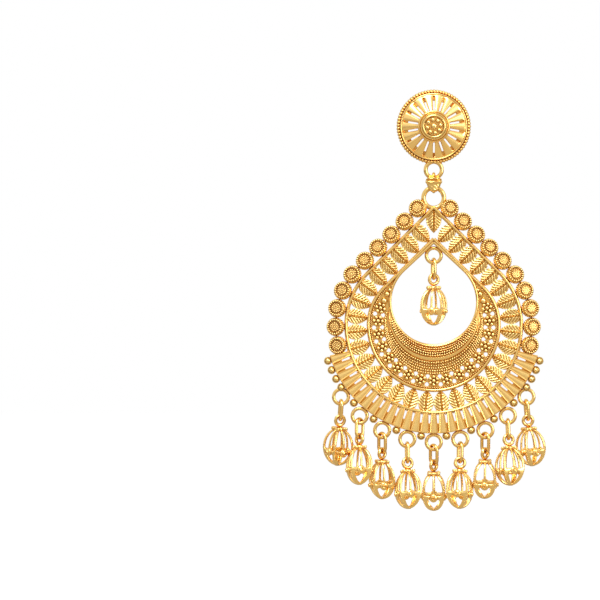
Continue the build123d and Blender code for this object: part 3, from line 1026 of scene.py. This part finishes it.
# plain rings: radius, height, width, depth, corner, finish and count of points
studRings = {
    "rimBase": (stud["rim"] - 0.15, 0.4, 0.95, 0.8, 0.35, "goldShaded", 96),
    "petalHem": (stud["outer"] - 0.05, 1.35, 0.6, 0.35, 0.15, "goldWire", 96),
    "bossHem": (stud["boss"] + 0.2, 3.3, 0.5, 0.5, 0.2, "goldWire", 64),
    "flange": (6.35, 0.3, 0.35, 1.7, 0.1, "goldShaded", 80),
    "bossRing": (2.28, stud["bossFront"], 0.6, 0.55, 0.26, "goldWire", 56),
}


def petalHeight(radius):
    (top, topRadius), (low, lowRadius) = stud["cone"]
    return top - (radius - topRadius) * (top - low) / (lowRadius - topRadius)


def makePetals():
    step = 360 / stud["petals"]
    slotFrom, slotTo, slotHalf = stud["slot"]
    twist, twistStep = stud["twist"]
    along, across = stud["grid"]
    forms = []
    for n in range(stud["petals"]):
        middle = stud["firstSlot"] + step * (n + 0.5)
        rows = []
        for i in range(along + 1):
            radius = stud["inner"] + (stud["outer"] - stud["inner"]) * i / along
            ease = min(1.0, max(0.0, min(radius - slotFrom, slotTo - radius) / slotHalf))
            bite = slotHalf * sqrt(max(0.0, 1 - (1 - ease) ** 2)) / radius * 180 / pi
            fade = min(1.0, (stud["outer"] - radius) * 2)
            row = []
            for k in range(across + 1):
                share = 2 * k / across - 1
                turn = radians(middle + (step / 2 - bite) * share)
                edge = stud["bevel"] * (abs(share) ** 6 if bite > 0 else 0)
                height = petalHeight(radius) + stud["crown"] * (1 - share**2) - edge
                height += twist * share * sin(twistStep * n) * fade
                row.append((radius * cos(turn), radius * sin(turn), height))
            rows.append(row)
        forms.append((casting(rows, wall=stud["wall"]), Matrix()))
    return cast("petals", forms, "goldSatin", 35)


def makeSlotBlocks():
    middle, length, width = slotBlock["circle"], slotBlock["length"], slotBlock["width"]
    rows = []
    for x in (-length / 2, length / 2):
        top = petalHeight(middle + x) - slotBlock["sunk"]
        rows.append([(x, -width / 2, top), (x, 0, top + slotBlock["ridge"]), (x, width / 2, top)])
    block = casting(rows, petalHeight(middle) - slotBlock["deep"])
    turns = [stud["firstSlot"] + 360 / stud["petals"] * n for n in range(stud["petals"])]
    return cast("slotBlocks", [(block, spun(turn) @ moved(middle, 0, 0)) for turn in turns], "goldWire", 35)


def makeBossGranules():
    look = bossGranules
    height = stud["bossFront"] + look["rise"]
    turns = [360 * k / look["count"] + look["first"] for k in range(look["count"])]
    spots = [(onCircle(look["circle"], turn, height), (0, 0, 0), look["ring"]) for turn in turns]
    spots.append(((0, 0, height), (0, 0, 0), look["heart"]))
    return ornaments("studGranules", granule(14), spots)


def makeStud():
    ropePath = [ringPath((0, 0, rope["height"]), stud["rim"], 96)]
    pitch = 2 * pi * (stud["rim"] - rope["trim"]) / rope["beads"]
    ropeLook = {"stretch": 0.76, "lean": 34, "spread": 0.08, "sides": 12}
    meshes = [makePetals(), beads("rope", ropePath, pitch, rope["bead"], "goldShaded", **ropeLook)]
    for name, (radius, height, width, depth, corner, finish, count) in studRings.items():
        meshes.append(wires(name, [ringPath((0, 0, height), radius, count)], width, depth, corner, finish))
    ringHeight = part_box("ear_stud")[0].z / mm + hanger["radius"] + hanger["wire"]
    hangerPath = [ringPath((0, ringHeight, hangDepth), hanger["radius"], 44)]
    wall, front = stud["boss"], stud["bossFront"]
    boss = [(0, 1.9), (1.3, 1.9), (1.3, 2.8), (wall - 0.15, 2.8), (wall, 3.0), (wall, front - 0.25)]
    boss += [(wall - 0.12, front), (wall - 0.35, front), (wall - 0.42, front - 0.3), (2.0, front - 0.3)]
    boss += [(1.95, front + 0.02), (0, front + 0.05)]
    meshes += [
        roundWires("studRing", hangerPath, hanger["wire"], "goldWire"),
        cast("boss", [(lathe(boss, 56), Matrix())], "goldShaded", 35),
        makeSlotBlocks(),
        makeBossGranules(),
    ]
    return finishPiece("studDome", meshes, onStud, "stud", ["ear_stud"])


makeStud()
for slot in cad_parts["ear_post"].material_slots:
    slot.material = gold["postBrass"]
print("stud made")

# ---- connector: wire link and ridged shield

shield = {
    "top": -10.31, "tip": -13.85, "back": 0.66, "edge": 0.81, "front": 1.6, "grid": (40, 24),
    # the ridges and the groove across it: share of the way down, height and width
    "ridges": ((0.19, 0.3, 0.075), (0.41, 0.27, 0.075), (0.3, -0.16, 0.05)),
    "wave": 0.022, "rosetteFrom": 0.56, "rosette": 0.05, "bend": 0.86, "wire": 0.35,
    # half the width at each share of the way down
    "widths": (
        (0, 0.8), (0.1, 1.05), (0.22, 1.62), (0.41, 1.82),
        (0.56, 1.46), (0.7, 1.32), (0.9, 0.95), (1, 0.55),
    ),
}
# the wire and bend of the link that the solid model has, a little more open than this one
solidLink = {"bend": 0.98, "wire": 0.42}


def shieldHalf(share):
    for (before, first), (after, second) in zip(shield["widths"], shield["widths"][1:]):
        if share <= after:
            return first + (second - first) * (share - before) / (after - before)


def shieldHeight(share, across):
    puff = 0.8 * (shield["front"] - shield["back"]) * (1 - across**2) ** 0.5
    puff *= min(1.0, 0.55 + 1.2 * sin(pi * share))
    wavy = share + shield["wave"] * cos(3 * pi * across)
    ridges = sum(rise * exp(-(((wavy - at) / wide) ** 2)) for at, rise, wide in shield["ridges"])
    rosette = shield["rosette"] if share > shield["rosetteFrom"] else 0.0
    return shield["edge"] + puff + ridges + rosette * cos(across * 9) * cos(share * 30)


def makeConnector():
    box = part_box("connector")
    middle = (box[0].z + box[1].z) / 2 / mm
    height = (box[1].z - box[0].z) / mm
    down, across = shield["grid"]
    rows = []
    for i in range(down + 1):
        share = i / down
        y = shield["top"] - (shield["top"] - shield["tip"]) * share
        sides = [2 * k / across - 1 for k in range(across + 1)]
        rows.append([(shieldHalf(share) * side, y, shieldHeight(share, side)) for side in sides])
    face = cast("shieldFace", [(casting(rows, shield["back"]), Matrix())], "goldWire", 70)
    face.transform(moved(0, 0, hangDepth))
    narrower = 2 * (solidLink["bend"] - shield["bend"])
    path = linkPath(shield["bend"], height - 2 * solidLink["wire"] - narrower)
    wire = roundWires("connectorWire", [path], shield["wire"], "goldWire")
    wire.transform(spun(-90, "X"))
    wire.transform(moved(0, middle, hangDepth))
    return finishPiece("connectorShield", [face, wire], onStud, "bail", ["connector"])


makeConnector()
print("connector made")

# ---- floor, light and camera

studio = {
    "floorDrop": 40, "floorReach": 3.0, "lensDistance": 1200, "pictureWidth": 127.5, "sensor": 36,
    "viewCentre": (-28.4, -36.8),
    # the floor's colour in what the gold reflects, then as the camera sees it
    "floorColours": ((0.42, 0.38, 0.32, 1), (1, 1, 1, 1)),
}
# each lamp's place in metres, its width and height, and its power
lamps = {
    "softTop": ((-0.1, -0.4, 0.45), (0.32, 0.24), 3.2),
    "softRight": ((0.45, -0.5, 0.1), (0.16, 0.42), 1.8),
}
lampTarget = Vector((0, 0, -0.037))


def makeFloor():
    low = cadBox[0][2] - studio["floorDrop"] * mm
    reach = studio["floorReach"]
    corners = [(x * reach, y * reach, low) for x, y in ((-1, -1), (1, -1), (1, 1), (-1, 1))]
    mesh = bpy.data.meshes.new("floor")
    mesh.from_pydata(corners, [], [(0, 1, 2, 3)])
    floor = inScene("floor", mesh)
    material = bpy.data.materials.new("paleFloor")
    material.use_nodes = True
    net = Net(material.node_tree)
    seen = net.add("ShaderNodeLightPath", out="Is Camera Ray")
    colour = net.mixColour(seen, *studio["floorColours"])
    surface = {"Base Color": colour, "Roughness": 0.9, "Specular IOR Level": 0.0}
    shader = net.add("ShaderNodeBsdfPrincipled", surface)
    net.add("ShaderNodeOutputMaterial", {"Surface": shader})
    mesh.materials.append(material)


makeFloor()
world = bpy.data.worlds.new("studio")
scene.world = world
world.use_nodes = True
net = Net(world.node_tree)
backdrop = net.add("ShaderNodeBackground", {"Color": (1, 1, 1, 1), "Strength": 1.0})
net.add("ShaderNodeOutputWorld", {"Surface": backdrop})
for name, (place, (wide, high), power) in lamps.items():
    lamp = bpy.data.lights.new(name, "AREA")
    lamp.shape = "RECTANGLE"
    lamp.size = wide
    lamp.size_y = high
    lamp.energy = power
    inScene(name, lamp).matrix_world = moved(*place) @ turnedTo(Vector(place) - lampTarget)

camera = bpy.data.cameras.new("camera")
camera.sensor_width = studio["sensor"]
camera.lens = studio["sensor"] * studio["lensDistance"] / studio["pictureWidth"]
camera.clip_start = 0.01
view = inScene("camera", camera)
viewX, viewZ = studio["viewCentre"]
view.location = (viewX * mm, -studio["lensDistance"] * mm, viewZ * mm)
view.rotation_euler = (pi / 2, 0, 0)
scene.camera = view
scene.view_settings.view_transform = "Standard"
print("studio made")
